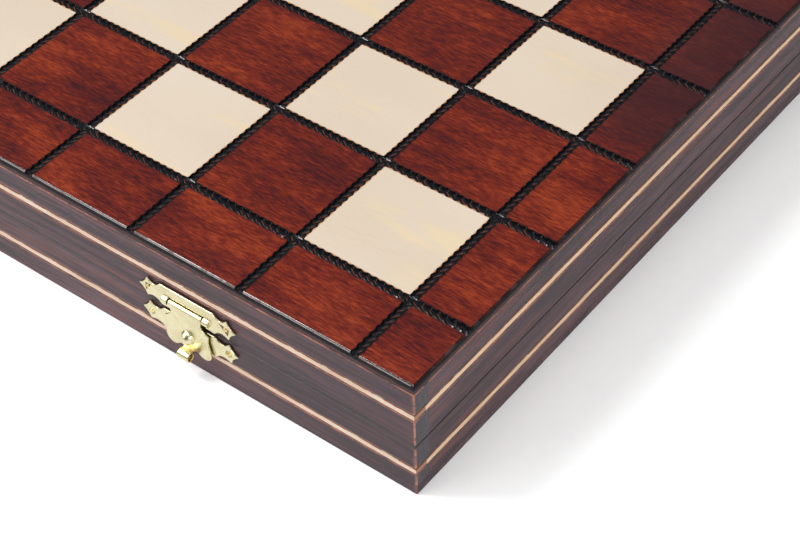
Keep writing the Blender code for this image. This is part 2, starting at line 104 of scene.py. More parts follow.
# The men: height and radius of the foot
MEN = {
    "king": (0.085, 0.0165),
    "queen": (0.076, 0.0160),
    "bishop": (0.067, 0.0145),
    "knight": (0.062, 0.0145),
    "rook": (0.052, 0.0150),
    "pawn": (0.047, 0.0130),
}
BACK_RANK = ("rook", "knight", "bishop", "queen", "king", "bishop", "knight", "rook")
MAN_PITCH = 0.0480
RIM = 0.07  # a foot's rim, as a share of its man's height
MAN_SIDES = 48
FOOT_MARGIN = 0.018
PAWN_MARGIN = 0.007


# ---- materials


class Finish:
    """One material, built from nodes. Its methods hand back sockets to wire on."""

    def __init__(self, name, settings=()):
        self.material = bpy.data.materials.new(name)
        self.material.use_nodes = True
        self.tree = self.material.node_tree
        self.shader = self.tree.nodes["Principled BSDF"]
        for socket, value in dict(settings).items():
            self.shader.inputs[socket].default_value = value
        self.place = self.node("TexCoord").outputs["Object"]
        split = self.node("SeparateXYZ", {"Vector": self.place})
        self.x, self.y, self.z = split.outputs

    def node(self, kind, inputs=(), **properties):
        made = self.tree.nodes.new("ShaderNode" + kind)
        for key, value in properties.items():
            setattr(made, key, value)
        for key, value in dict(inputs).items():
            if isinstance(value, bpy.types.NodeSocket):
                self.tree.links.new(value, made.inputs[key])
            else:
                made.inputs[key].default_value = value
        return made

    def noise(self, scale, detail=3.0, roughness=0.55):
        """Noise from 0 to 1, scale features to a metre, or so many along X, Y and Z."""
        scales = scale if isinstance(scale, (tuple, list)) else (scale,) * 3
        stretched = self.node("Mapping", {"Vector": self.place, "Scale": scales})
        inputs = {"Vector": stretched.outputs[0], "Scale": 1.0, "Detail": detail, "Roughness": roughness}
        return self.node("TexNoise", inputs).outputs[0]

    def maths(self, operation, a, b=0.0):
        return self.node("Math", {0: a, 1: b}, operation=operation).outputs[0]

    def blend_of(self, *weighted, plus=0.0):
        """The sum of several values, each with its weight, and of a constant."""
        total = self.maths("MULTIPLY", *weighted[0])
        for value, weight in weighted[1:]:
            total = self.maths("ADD", total, self.maths("MULTIPLY", value, weight))
        return self.maths("ADD", total, plus) if plus else total

    def mask(self, value, start, end):
        """Runs smoothly from 0 where value is start to 1 where it is end."""
        inputs = {"Value": value, "From Min": start, "From Max": end}
        return self.node("MapRange", inputs, interpolation_type="SMOOTHSTEP").outputs[0]

    def ramp(self, value, *stops):
        made = self.node("ValToRGB", {0: value})
        elements = made.color_ramp.elements
        while len(elements) < len(stops):
            elements.new(0.5)
        for element, (place, colour) in zip(elements, stops):
            element.position = place
            element.color = (*colour, 1.0)
        return made.outputs[0]

    def stain(self, colour, other, share, *factors):
        """Lays another colour over a colour, by a share times its factors."""
        for factor in factors:
            share = self.maths("MULTIPLY", share, factor)
        inputs = {0: share, 6: colour, 7: (*other, 1.0)}
        return self.node("Mix", inputs, data_type="RGBA").outputs[2]

    def done(self, colour, roughness, height, depth):
        """Wires the colour, the roughness and a relief of the given depth in metres."""
        bump = self.node("Bump", {"Height": height, "Distance": depth, "Strength": 1.0})
        wires = {"Base Color": colour, "Roughness": roughness, "Normal": bump.outputs[0]}
        for socket, value in wires.items():
            self.tree.links.new(value, self.shader.inputs[socket])
        return self.material


def near_line(f):
    """Distance from the nearest burnt line of the board, in metres."""
    across = f.maths("PINGPONG", f.x, SQUARE / 2)
    along = f.maths("PINGPONG", f.y, SQUARE / 2)
    return f.maths("MINIMUM", across, along)


def stained_veneer():
    """Red-brown stain with short dark flecks along X, under gloss lacquer."""
    f = Finish("stained_veneer", {"Coat Weight": 0.22, "Coat Roughness": 0.12, "Specular IOR Level": 0.25})
    fleck = f.noise((260, 1500, 300), 5.0, 0.68)
    band = f.noise((28, 190, 60), 4.0)
    cloud = f.noise((26, 40, 30), 3.0)
    tone = f.blend_of((fleck, 0.62), (band, 0.28), (cloud, 0.40))
    colour = f.ramp(
        tone,
        (0.46, (0.022, 0.0060, 0.0100)),
        (0.58, (0.072, 0.0086, 0.0080)),
        (0.68, (0.147, 0.0165, 0.0078)),
        (0.80, (0.275, 0.041, 0.013)),
    )
    along_border = f.mask(f.y, -0.100, -0.068)
    border_end = f.mask(f.blend_of((f.y, 1.0), (band, 0.03)), 0.13, 0.06)
    soaked = (f.mask(f.x, 0.160, 0.188), along_border, border_end, 0.8)
    colour = f.stain(colour, (0.036, 0.0105, 0.0135), *soaked)
    burnt = f.mask(f.blend_of((near_line(f), 1.0), (fleck, 0.0009)), 0.0027, 0.0019)
    colour = f.stain(colour, (0.012, 0.006, 0.006), burnt, 0.75)
    roughness = f.blend_of((fleck, 0.18), (cloud, 0.10), (f.noise(900), 0.10), plus=0.10)
    return f.done(colour, roughness, fleck, 0.05 * MM)


def pale_veneer():
    """Unstained veneer with faint yellow flames and a thin scorched edge beside each line."""
    f = Finish("pale_veneer", {"Coat Weight": 0.25, "Coat Roughness": 0.15, "Specular IOR Level": 0.3})
    pore = f.noise((200, 1700, 300), 3.0)
    flame = f.noise((18, 75, 30), 3.0, 0.6)
    cloud = f.noise((12, 20, 20), 2.0)
    colour = f.ramp(
        f.blend_of((pore, 0.25), (cloud, 0.75)),
        (0.35, (0.590, 0.490, 0.380)),
        (0.52, (0.615, 0.520, 0.414)),
        (0.70, (0.632, 0.545, 0.448)),
    )
    colour = f.stain(colour, (0.695, 0.545, 0.330), f.mask(flame, 0.53, 0.68), 0.55)
    scorch = f.mask(f.blend_of((near_line(f), 1.0), (pore, 0.0006), (flame, 0.0004)), 0.0026, 0.0020)
    colour = f.stain(colour, (0.42, 0.17, 0.055), scorch)
    return f.done(colour, f.blend_of((pore, 0.16), (cloud, 0.14), plus=0.16), pore, 0.02 * MM)


def strands(f, along, across, way):
    """Height, from 0 to 1, of the twisted strands pressed into the lines that run along an axis."""
    place = f.maths("FLOORED_MODULO", f.maths("ADD", across, SQUARE / 2), SQUARE)
    share = f.maths("DIVIDE", f.maths("SUBTRACT", place, SQUARE / 2), LINE_HALF)
    turn = f.blend_of((along, pi / STRAND_PITCH), (share, way * pi * STRAND_SLANT))
    crown = f.maths("SUBTRACT", 1.0, f.maths("MULTIPLY", share, share))
    ridge = f.maths("ABSOLUTE", f.maths("COSINE", turn))
    return f.maths("MULTIPLY", ridge, f.maths("MAXIMUM", crown, 0.0))


def burnt_line():
    """Scorched black wood under thick lacquer, brown where the roller left the wood between strands."""
    f = Finish("burnt_line", {"Coat Weight": 0.75, "Coat Roughness": 0.16, "Specular IOR Level": 0.12})
    twist = f.maths("MAXIMUM", strands(f, f.x, f.y, 1), strands(f, f.y, f.x, -1))
    speck = f.noise(260, 4.0)
    soot = f.noise(1500)
    colour = f.ramp(soot, (0.35, (0.0012, 0.0016, 0.0026)), (0.65, (0.0042, 0.0054, 0.0082)))
    middle = f.mask(near_line(f), LINE_HALF * 0.7, LINE_HALF * 0.2)
    hollow = (f.mask(twist, 0.45, 0.10), f.mask(speck, 0.40, 0.56), middle)
    colour = f.stain(colour, (0.13, 0.040, 0.026), *hollow)
    relief = f.blend_of((twist, 1.0), (soot, 0.05))
    return f.done(colour, f.blend_of((soot, 0.3), plus=0.1), relief, 0.22 * MM)


def glossy_arris():
    """The rounded edge of the panel, where the lacquer has pooled into a thick glossy bead."""
    f = Finish("glossy_arris", {"Specular IOR Level": 0.8})
    fleck = f.noise(170, 4.0, 0.6)
    colour = f.ramp(fleck, (0.42, (0.010, 0.003, 0.003)), (0.62, (0.050, 0.010, 0.008)))
    waves = f.noise(150, 3.0, 0.65)
    roughness = f.blend_of((f.mask(waves, 0.50, 0.64), 0.4), plus=0.1)
    return f.done(colour, roughness, waves, 0.09 * MM)


def panel_edge():
    """The panel's edge below the bead: black with scorch, and browner at its lower ply."""
    f = Finish("panel_edge", {"Specular IOR Level": 0.15})
    ply = f.noise((40, 40, 1500), 2.0)
    worn = f.noise((300, 300, 900), 3.0)
    colour = f.ramp(ply, (0.35, (0.004, 0.0025, 0.003)), (0.65, (0.012, 0.007, 0.008)))
    lower = f.mask(f.blend_of((f.z, 1.0), (worn, 0.0014)), PANEL_LOW.z + 0.0024, PANEL_LOW.z + 0.0016)
    colour = f.stain(colour, (0.056, 0.034, 0.037), lower, 0.9)
    return f.done(colour, f.blend_of((worn, 0.3), plus=0.45), ply, 0.08 * MM)


def inlay_distance(f):
    """Distance from the nearer inlay strip's middle height, in metres."""
    gaps = [f.maths("ABSOLUTE", f.maths("SUBTRACT", f.z, z)) for z in INLAY_Z]
    return f.maths("MINIMUM", *gaps)


def with_glue_rim(f, colour, ragged, weight):
    """A wall's colour with an orange rim of glue along the inlay strips."""
    rim = f.mask(f.blend_of((inlay_distance(f), 1.0), (ragged, 0.0006)), 0.0017, 0.0013)
    return f.stain(colour, (0.20, 0.075, 0.040), rim, weight)


def case_wood(axis):
    """Dark stained wood with an open grain that runs along X (axis 0) or Y (axis 1), with painted shade on
    the front face.
    """
    f = Finish("case_along_" + "xy"[axis], {"Specular IOR Level": 0.30})

    def grain(along, across, detail, roughness=0.55):
        return f.noise([along if i == axis else across for i in range(3)], detail, roughness)

    fibre = grain(110, 1700, 5.0, 0.7)
    band = grain(6, 260, 3.0)
    cloud = grain(12, 60, 2.0)
    dark, body, light, red = WALL_TONES
    tone = f.blend_of((fibre, 0.50), (band, 0.35), (cloud, 0.25))
    colour = f.ramp(tone, (0.46, dark), (0.55, body), (0.64, light))
    streak = grain(18, 700, 3.0)
    colour = f.stain(colour, red, f.mask(streak, 0.52, 0.66), 0.75)
    colour = with_glue_rim(f, colour, streak, 0.7)
    side = f.blend_of((f.maths("ABSOLUTE", f.x), 1.0), (f.noise((60, 60, 420)), 0.0024))
    corner = f.mask(side, -PANEL_LOW.x - 0.0004, -PANEL_LOW.x + 0.0012)
    outer_face = f.mask(f.maths("ABSOLUTE", f.y), -FRONT - 0.0006, -FRONT - 0.0002)
    colour = f.stain(colour, (0.26, 0.095, 0.052), corner, outer_face, 0.8)
    # Painted shade: the front face is darkened from x 0.08 to 0.19 m, towards the near right corner.
    front_face = f.mask(f.y, FRONT + 0.004, FRONT + 0.002)
    colour = f.stain(colour, dark, f.mask(f.x, 0.08, 0.19), front_face, 0.45)
    roughness = f.blend_of((fibre, 0.2), (cloud, 0.1), plus=0.30)
    return f.done(colour, roughness, f.blend_of((fibre, 0.7), (streak, 0.3)), 0.07 * MM)


def end_grain():
    """The cut ends of the front and back boards, which have drunk more of the stain."""
    f = Finish("end_grain", {"Specular IOR Level": 0.5})
    ring = f.noise((120, 1300, 260), 4.0, 0.6)
    pore = f.noise(2200)
    tone = f.blend_of((ring, 0.6), (pore, 0.4))
    colour = f.ramp(tone, (0.42, (0.014, 0.011, 0.016)), (0.6, (0.046, 0.036, 0.045)))
    colour = with_glue_rim(f, colour, ring, 0.8)
    return f.done(colour, f.blend_of((pore, 0.3), plus=0.32), tone, 0.08 * MM)


def worn_arris():
    """The rubbed edges of the boards, orange where the stain has gone, and dark at the seam."""
    f = Finish("worn_arris", {"Coat Weight": 0.2, "Coat Roughness": 0.3})
    rub = f.noise((130, 130, 500), 4.0, 0.65)
    fine = f.noise((900, 900, 1400), 3.0)
    tone = f.blend_of((rub, 0.7), (fine, 0.3))
    colour = f.ramp(
        tone,
        (0.40, (0.055, 0.022, 0.018)),
        (0.50, (0.20, 0.065, 0.040)),
        (0.62, (0.34, 0.13, 0.075)),
    )
    seam = f.mask(f.maths("ABSOLUTE", f.maths("SUBTRACT", f.z, SEAM_Z)), 0.0014, 0.0008)
    joint = f.maths("SUBTRACT", f.maths("ABSOLUTE", f.y), -FRONT - WALL)
    joint = f.mask(f.maths("ABSOLUTE", joint), 0.0014, 0.0009)
    foot = f.mask(f.z, BASE_FLOOR + 0.0011, BASE_FLOOR + 0.0007)
    dark = f.maths("MAXIMUM", f.maths("MAXIMUM", seam, joint), foot)
    colour = f.stain(colour, (0.036, 0.021, 0.024), dark)
    return f.done(colour, f.blend_of((fine, 0.3), plus=0.28), tone, 0.06 * MM)


def inlay_wood():
    """Pale strip with an uneven glue line along both edges, stained where it crosses the end grain."""
    f = Finish("inlay_wood", {"Coat Weight": 0.15, "Coat Roughness": 0.3})
    fibre = f.noise((120, 120, 1800), 3.0)
    patch = f.noise((45, 45, 90), 3.0)
    colour = f.ramp(
        f.blend_of((fibre, 0.4), (patch, 0.6)),
        (0.36, (0.475, 0.330, 0.226)),
        (0.52, (0.570, 0.424, 0.315)),
        (0.68, (0.627, 0.500, 0.390)),
    )
    ragged = f.noise(150, 4.0, 0.7)
    edge = f.blend_of((inlay_distance(f), 1.0), (ragged, 0.0012))
    colour = f.stain(colour, (0.24, 0.085, 0.040), f.mask(edge, 0.00138, 0.00160))
    beside = f.maths("GREATER_THAN", f.maths("ABSOLUTE", f.x), -PANEL_LOW.x - 0.2 * MM)
    colour = f.stain(colour, (0.76, 0.47, 0.25), beside, 0.5)
    depth = f.maths("SUBTRACT", -FRONT, f.maths("ABSOLUTE", f.y))
    stained = f.mask(f.blend_of((depth, 1.0), (ragged, 0.002)), WALL + 0.0008, WALL)
    colour = f.stain(colour, (0.27, 0.115, 0.065), stained, beside)
    return f.done(colour, f.blend_of((fibre, 0.3), plus=0.3), fibre, 0.03 * MM)


def brass():
    """Pale plated brass, half polished, with fine rolling marks and a smeared tone."""
    f = Finish("brass", {"Metallic": 1.0})
    rolled = f.noise((2600, 2600, 240))
    smear = f.noise(160)
    colour = f.ramp(smear, (0.35, (0.56, 0.50, 0.30)), (0.6, (0.65, 0.60, 0.39)))
    roughness = f.blend_of((rolled, 0.10), (smear, 0.14), plus=0.16)
    return f.done(colour, roughness, f.blend_of((rolled, 0.3), (smear, 0.7)), 0.02 * MM)


def gold_brass_and_painted_reflection():
    """Yellower brass, as on the brads, and laid on the curl's concave fillet and inside the curl as painted
    reflection and shade.
    """
    f = Finish("gold_brass_and_painted_reflection", {"Metallic": 1.0})
    smear = f.noise(400)
    colour = f.ramp(smear, (0.35, (0.45, 0.31, 0.10)), (0.62, (0.76, 0.61, 0.28)))
    return f.done(colour, f.blend_of((smear, 0.25), plus=0.15), smear, 0.02 * MM)


def tarnish_and_shade():
    """Brown tarnish, with painted shade, in the countersinks round the brads."""
    f = Finish("tarnish_and_shade", {"Metallic": 0.6})
    smear = f.noise(900)
    colour = f.ramp(smear, (0.35, (0.035, 0.018, 0.006)), (0.65, (0.16, 0.095, 0.03)))
    return f.done(colour, f.blend_of((smear, 0.3), plus=0.4), smear, 0.03 * MM)


def felt():
    """Green felt, with a short matted nap."""
    f = Finish("felt", {"Sheen Weight": 0.6, "Sheen Roughness": 0.5})
    nap = f.noise(1500, 4.0, 0.7)
    clump = f.noise(180)
    cloud = f.noise(18, 2.0)
    tone = f.blend_of((nap, 0.5), (clump, 0.3), (cloud, 0.2))
    colour = f.ramp(
        tone,
        (0.36, (0.006, 0.050, 0.022)),
        (0.52, (0.015, 0.105, 0.048)),
        (0.68, (0.035, 0.17, 0.085)),
    )
    return f.done(colour, f.blend_of((nap, 0.1), plus=0.88), tone, 0.35 * MM)


def turned_wood(name, coat, *tones):
    """Turned wood, its grain along a lying man, in a dark, a middle and a light tone."""
    f = Finish(name, {"Coat Weight": coat, "Coat Roughness": 0.15})
    grain = f.noise((420, 22, 420), 4.0, 0.6)
    ring = f.noise((110, 9, 110))
    fibre = f.noise((2200, 160, 2200))
    tone = f.blend_of((grain, 0.4), (ring, 0.35), (fibre, 0.25))
    colour = f.ramp(tone, *zip((0.38, 0.52, 0.66), tones))
    return f.done(colour, f.blend_of((fibre, 0.2), (ring, 0.1), plus=0.2), fibre, 0.03 * MM)


def floor_finish():
    """Matt white paper."""
    f = Finish("paper", {"Specular IOR Level": 0.1})
    tooth = f.noise(220, 4.0)
    colour = f.ramp(tooth, (0.3, (0.93, 0.93, 0.93)), (0.7, (0.95, 0.95, 0.95)))
    return f.done(colour, f.blend_of((tooth, 0.1), plus=0.85), tooth, 0.02 * MM)


# ---- building pieces


def placed(name, data):
    """A new object in the scene."""
    obj = bpy.data.objects.new(name, data)
    bpy.context.scene.collection.objects.link(obj)
    return obj


def piece(name, mesh, materials, body, slot, *stands_for):
    """Puts a mesh into the scene as a piece that rides on a body and may stand for CAD nodes."""
    obj = placed(name, mesh)
    for material in materials:
        mesh.materials.append(material)
    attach(obj, body)
    if stands_for:
        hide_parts(*stands_for)
    return obj


def smooth(mesh, angle):
    """Smooth shading but for edges sharper than an angle in degrees."""
    mesh.shade_smooth()
    mesh.set_sharp_from_angle(angle=radians(angle))


def block(bm, middle, half):
    """Adds a box to a bmesh and hands back its corners."""
    corners = bmesh.ops.create_cube(bm, size=2)["verts"]
    for corner in corners:
        corner.co = Vector(middle) + corner.co * Vector(half)
    return corners


def chamfer(bm, width, segments=1):
    bmesh.ops.bevel(bm, geom=bm.edges[:], offset=width, segments=segments, affect="EDGES")


def vectors(items, key):
    """One value of every vertex or face, as rows of three."""
    values = np.zeros(len(items) * 3)
    items.foreach_get(key, values)
    return values.reshape(-1, 3)


def softened(mesh, voxel, passes, kept=1.0):
    """A mesh made again in small even quads, smoothed and thinned to the share kept."""
    obj = placed("soft", mesh)
    obj.modifiers.new("weld", "WELD").merge_threshold = 0.01 * MM
    remesh = obj.modifiers.new("remesh", "REMESH")
    remesh.mode = "VOXEL"
    remesh.voxel_size = voxel
    obj.modifiers.new("smooth", "SMOOTH").iterations = passes
    if kept < 1:
        obj.modifiers.new("thin", "DECIMATE").ratio = kept
    graph = bpy.context.evaluated_depsgraph_get()
    soft = bpy.data.meshes.new_from_object(obj.evaluated_get(graph))
    bpy.data.objects.remove(obj)
    soft.materials.clear()
    return soft


def mesh_from(name, bm):
    bmesh.ops.recalc_face_normals(bm, faces=bm.faces)
    mesh = bpy.data.meshes.new(name)
    bm.to_mesh(mesh)
    bm.free()
    return mesh


def turned(name, profile, sides, reshape=None):
    """A turned mesh about Z. The profile runs from the axis to the axis as (radius, height)."""
    bm = bmesh.new()
    rings = []
    for radius, height in profile:
        if radius == 0:
            rings.append([bm.verts.new((0, 0, height))])
            continue
        turns = [2 * pi * i / sides for i in range(sides)]
        rings.append([bm.verts.new((radius * cos(a), radius * sin(a), height)) for a in turns])
    for low, high in zip(rings, rings[1:]):
        for i in range(sides):
            j = (i + 1) % sides
            corners = [low[i % len(low)], low[j % len(low)], high[j % len(high)], high[i % len(high)]]
            bm.faces.new(list(dict.fromkeys(corners)))
    if reshape:
        for vertex in bm.verts:
            vertex.co = reshape(vertex.co.copy())
    return mesh_from(name, bm)


def rounded(points):
    """Cuts every corner of an open line, twice, which leaves its two ends where they are."""
    for _ in range(2):
        cut = [points[0]]
        for (ax, ay), (bx, by) in zip(points, points[1:]):
            cut += [((1 - s) * ax + s * bx, (1 - s) * ay + s * by) for s in (0.25, 0.75)]
        points = cut + [points[-1]]
    return points


# ---- the playing board


def axis_places(half):
    """Sample places along one axis of the panel, and the blocks they form.

    A block is (first, last, is_line): the places across one burnt line, or those between two lines.
    """
    places = [ARRIS - half]
    blocks = []
    for line in LINES + [None]:
        start = places[-1]
        stop = half - ARRIS if line is None else line - LINE_HALF
        count = round((stop - start) / ALONG_STEP)
        blocks.append((len(places) - 1, len(places) - 1 + count, False))
        places += [start + (stop - start) * i / count for i in range(1, count + 1)]
        if line is not None:
            blocks.append((len(places) - 1, len(places) + len(ACROSS_LINE) - 2, True))
            places += [line + LINE_HALF * share for share in ACROSS_LINE[1:]]
    return np.array(places), blocks


def line_shares(places, blocks):
    """For each place, whether a line covers it, and where in the line it is, from -1 to 1."""
    covered = np.zeros(len(places), bool)
    share = np.zeros(len(places))
    for first, last, is_line in blocks:
        if is_line:
            covered[first : last + 1] = True
            share[first : last + 1] = ACROSS_LINE
    return covered, share


def rope_height(along, share):
    """Height of the roped pattern that the hot roller pressed, below the panel's face.

    along and share are the places along and across the line. The strands turn the same way on
    every line, so share counts from the right of a line that runs along Y.
    """
    edge = np.clip((1 - np.abs(share)) / ROPE_SHOULDER, 0, 1)
    strand = np.abs(np.cos(pi * (along / STRAND_PITCH + STRAND_SLANT * share))) ** 0.8
    crown = 1 - share**2
    return -edge * (ROPE_DEPTH - ROPE_RISE * crown * strand)


def rope_edge(along, share, way):
    """How far a line's place moves outwards for the scalloped edge and the flared crossings."""
    to_line = np.abs((along + SQUARE / 2) % SQUARE - SQUARE / 2)
    clear = np.clip((to_line - LINE_HALF) / STRAND_PITCH, 0, 1)
    wave = np.cos(2 * pi * (along / STRAND_PITCH + way * STRAND_SLANT * np.sign(share)))
    flare = CORNER_FLARE * np.exp(-np.clip(to_line - LINE_HALF, 0, None) / CORNER_REACH)
    return share * (LINE_HALF * SCALLOP * wave * clear + flare)


def rim_of(last_x, last_y):
    """The places round the edge of a grid, in turn."""
    loop = [(i, 0) for i in range(last_x)] + [(last_x, j) for j in range(last_y)]
    return loop + [(i, last_y) for i in range(last_x, 0, -1)] + [(0, j) for j in range(last_y, 0, -1)]


def board_top(finishes):
    """The board: flat squares, rope-patterned burnt lines cut into it, and a rounded glossy arris."""
    xs, blocks_x = axis_places(PANEL_HIGH.x)
    ys, blocks_y = axis_places(PANEL_HIGH.y)
    covered_x, share_x = line_shares(xs, blocks_x)
    covered_y, share_y = line_shares(ys, blocks_y)
    grid_x, grid_y = np.meshgrid(xs, ys, indexing="ij")
    wide_x, wide_y = np.meshgrid(share_x, share_y, indexing="ij")
    height = np.minimum(
        np.where(covered_x[:, None], rope_height(grid_y, -wide_x), 0),
        np.where(covered_y[None, :], rope_height(grid_x, wide_y), 0),
    )
    moved_x = grid_x + np.where(covered_x[:, None], rope_edge(grid_y, wide_x, -1), 0)
    moved_y = grid_y + np.where(covered_y[None, :], rope_edge(grid_x, wide_y, 1), 0)
    covered = covered_x[:, None] | covered_y[None, :]
    rim = np.zeros_like(covered)
    rim[[0, -1], :] = True
    rim[:, [0, -1]] = True
    moved_x = np.where(rim & ~covered_x[:, None], grid_x, moved_x)
    moved_y = np.where(rim & ~covered_y[None, :], grid_y, moved_y)
    used = covered | rim
    index = np.full(used.shape, -1)
    index[used] = np.arange(used.sum())
    points = np.stack([moved_x[used], moved_y[used], PANEL_HIGH.z + height[used]], axis=1).tolist()
    faces, kinds = [], []
    for column, (x0, x1, line_x) in enumerate(blocks_x):
        for row, (y0, y1, line_y) in enumerate(blocks_y):
            if line_x or line_y:
                here = index[x0 : x1 + 1, y0 : y1 + 1]
                quads = np.stack([here[:-1, :-1], here[1:, :-1], here[1:, 1:], here[:-1, 1:]], axis=-1)
                faces += quads.reshape(-1, 4).tolist()
                kinds += [BURNT] * quads[..., 0].size
                continue
            loop = list(index[x0:x1, y0]) + list(index[x1, y0:y1])
            loop += list(index[x1:x0:-1, y1]) + list(index[x0, y1:y0:-1])
            faces.append([int(i) for i in loop])
            file, rank = column // 2, row // 2
            inside = 1 <= file <= FILES and 1 <= rank <= FILES
            kinds.append(LIGHT if inside and (file + rank) % 2 else DARK)
    add_arris(points, faces, kinds, index, (covered_x, covered_y))
    mesh = bpy.data.meshes.new("board_top")
    mesh.from_pydata(points, [], faces)
    mesh.polygons.foreach_set("material_index", kinds)
    smooth(mesh, 30)
    piece("board_top", mesh, [finishes[n] for n in BOARD_FINISHES], "lid", "board_wood", "board_panel")


def add_arris(points, faces, kinds, index, covered):
    """Rounds the panel's edge over, lets the lines run out through it, and closes the underside."""
    last_x, last_y = (count - 1 for count in index.shape)
    loop = rim_of(last_x, last_y)
    outward = [((i == last_x) - (i == 0), (j == last_y) - (j == 0)) for i, j in loop]
    rings = [[int(index[place]) for place in loop]]
    burns = [covered[1][j] if out_x else covered[0][i] for (i, j), (out_x, _) in zip(loop, outward)]
    for out, drop in ARRIS_STEPS + ((ARRIS, PANEL_HIGH.z - PANEL_LOW.z),):
        ring = []
        for start, (out_x, out_y) in zip(rings[0], outward):
            x, y, z = points[start]
            ring.append(len(points))
            points.append([x + out * out_x, y + out * out_y, min(z, PANEL_HIGH.z - drop)])
        rings.append(ring)
    for level, (inner, outer) in enumerate(zip(rings, rings[1:])):
        for k in range(len(loop)):
            n = (k + 1) % len(loop)
            faces.append([inner[n], inner[k], outer[k], outer[n]])
            upper = level < len(ARRIS_STEPS) - 1
            line_end = burns[k] and burns[n]
            kinds.append((BURNT if line_end else GLOSSY) if upper else EDGE)
    faces.append(rings[-1][::-1])
    kinds.append(EDGE)


# ---- the case


def rounded_node(name, width, segments, materials):
    """Keeps a CAD node, with its edges rounded over and its finishes set."""
    obj = NODES[name]
    weld = obj.modifiers.new("weld", "WELD")
    weld.merge_threshold = 0.01 * MM
    bevel = obj.modifiers.new("edges", "BEVEL")
    bevel.width = width
    bevel.segments = segments
    bevel.limit_method = "ANGLE"
    bevel.angle_limit = radians(40)
    obj.data.materials.clear()
    for material in materials:
        obj.data.materials.append(material)
    if len(materials) > 1:
        bevel.material = len(materials) - 1
    return obj


def glue_lines(finishes):
    """The glue and filler in the joints where the side boards butt against the front and back boards."""
    inset = 0.03 * MM
    spread = 0.4 * MM
    for half in ("lid", "base"):
        side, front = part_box(f"{half}_wall_right"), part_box(f"{half}_wall_front")
        bm = bmesh.new()
        for x in (-1, 1):
            for y in (-1, 1):
                near, far = sorted((-front[1].y, side[1].y))
                low = Vector((side[0].x + inset, near - spread, side[0].z + inset))
                high = Vector((side[1].x - inset, far + spread, side[1].z - inset))
                middle = (low + high) / 2
                block(bm, (x * middle.x, y * middle.y, middle.z), (high - low) / 2)
        chamfer(bm, 0.05 * MM)
        name = f"{half}_glue_lines"
        piece(name, mesh_from(name, bm), [finishes["end_grain"]], half, "case_wood")


def foot_filler(finishes):
    """Filler rubbed into the joint between the base sheet and the walls, stained with them."""
    inset, depth, rise = 0.03 * MM, 2.0 * MM, 0.5 * MM
    bm = bmesh.new()
    x, y = -PANEL_LOW.x - inset, -FRONT - inset
    z = BASE_FLOOR + 0.15 * MM
    along_x = ((0, y - depth), (x, depth, rise))
    along_y = ((x - depth, 0), (depth, y - 2 * depth - inset, rise))
    for number, (middle, half) in enumerate((along_x, along_y)):
        for way in (-1, 1):
            corners = block(bm, (way * middle[0], way * middle[1], z), half)
            for face in {face for corner in corners for face in corner.link_faces}:
                face.material_index = number
    chamfer(bm, 0.05 * MM)
    materials = [finishes["case_along_x"], finishes["case_along_y"]]
    piece("base_foot_filler", mesh_from("base_foot_filler", bm), materials, "base", "case_wood")


def case_walls(finishes):
    """The eight boards of the two halves: long grain on their faces, end grain at the corners."""
    end = 0.9
    for half in ("lid", "base"):
        for side in ("front", "back", "left", "right"):
            along_x = side in ("front", "back")
            grain = "case_along_x" if along_x else "case_along_y"
            materials = [finishes[grain], finishes["end_grain"], finishes["worn_arris"]]
            obj = rounded_node(f"{half}_wall_{side}", 0.55 * MM, 2, materials)
            for face in obj.data.polygons:
                across = face.normal.x if along_x else face.normal.y
                face.material_index = 1 if abs(across) > end else 0
        rounded_node(f"{half}_inlay", 0.12 * MM, 1, [finishes["inlay_wood"]])
    for name in ("divider_front", "divider_back", "base_panel"):
        rounded_node(name, 0.3 * MM, 2, [finishes["case_along_x"]])


def felt_sheet(name, node, body, finishes):
    """A felt lining: a thin sheet with a soft, slightly uneven face."""
    low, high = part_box(node)
    step = 5.0 * MM
    count_x = round((high.x - low.x) / step)
    count_y = round((high.y - low.y) / step)
    bm = bmesh.new()
    levels = []
    depth = 0.18 * MM
    for z, inward in ((low.z, depth), (high.z, -depth)):
        level = {}
        for i in range(count_x + 1):
            for j in range(count_y + 1):
                x = low.x + (high.x - low.x) * i / count_x
                y = low.y + (high.y - low.y) * j / count_y
                swell = 0.5 + 0.25 * sin(x * 310 + 2 * sin(y * 170)) + 0.25 * sin(y * 270 + 2 * cos(x * 190))
                level[i, j] = bm.verts.new((x, y, z + inward * swell))
        levels.append(level)
        for i in range(count_x):
            for j in range(count_y):
                bm.faces.new((level[i, j], level[i + 1, j], level[i + 1, j + 1], level[i, j + 1]))
    under, over = levels
    rim = rim_of(count_x, count_y)
    for here, after in zip(rim, rim[1:] + rim[:1]):
        bm.faces.new((under[here], under[after], over[after], over[here]))
    mesh = mesh_from(name, bm)
    smooth(mesh, 50)
    obj = piece(name, mesh, [finishes["felt"]], body, "felt", node)


# ---- latches and hinges


def pressed(node, name, body, materials, push, tint):
    """A pressed brass piece: a softened copy of its node, with its relief pushed in or out.

    push says how far a place moves outwards, and tint which finish a face has, from its place.
    """
    mesh = softened(NODES[node].data.copy(), 0.16 * MM, 9, 0.3)
    places = vectors(mesh.vertices, "co")
    low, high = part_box(node)
    middle = (low.x + high.x) / 2
    across, out, up = places[:, 0] - middle, FRONT - places[:, 1], places[:, 2]
    outer = out > PLATE_FACE - 0.35 * MM
    places[:, 1] -= np.where(outer, push(across, out, up), 0)
    places = np.clip(places, np.array(low), np.array(high))
    mesh.vertices.foreach_set("co", places.ravel())
    across, y, up = vectors(mesh.polygons, "center").T
    kinds = tint(across - middle, FRONT - y, up).astype(int)
    mesh.polygons.foreach_set("material_index", kinds)
    mesh.shade_smooth()
    piece(name, mesh, materials, body, "brass", node)


def bowl(across, up, centre, radius, depth):
    """A round hollow of the given depth, and its mirror image."""
    away = np.hypot(np.abs(across) - centre[0], up - centre[1]) / radius
    return -depth * np.clip(1 - away**2, 0, 1)


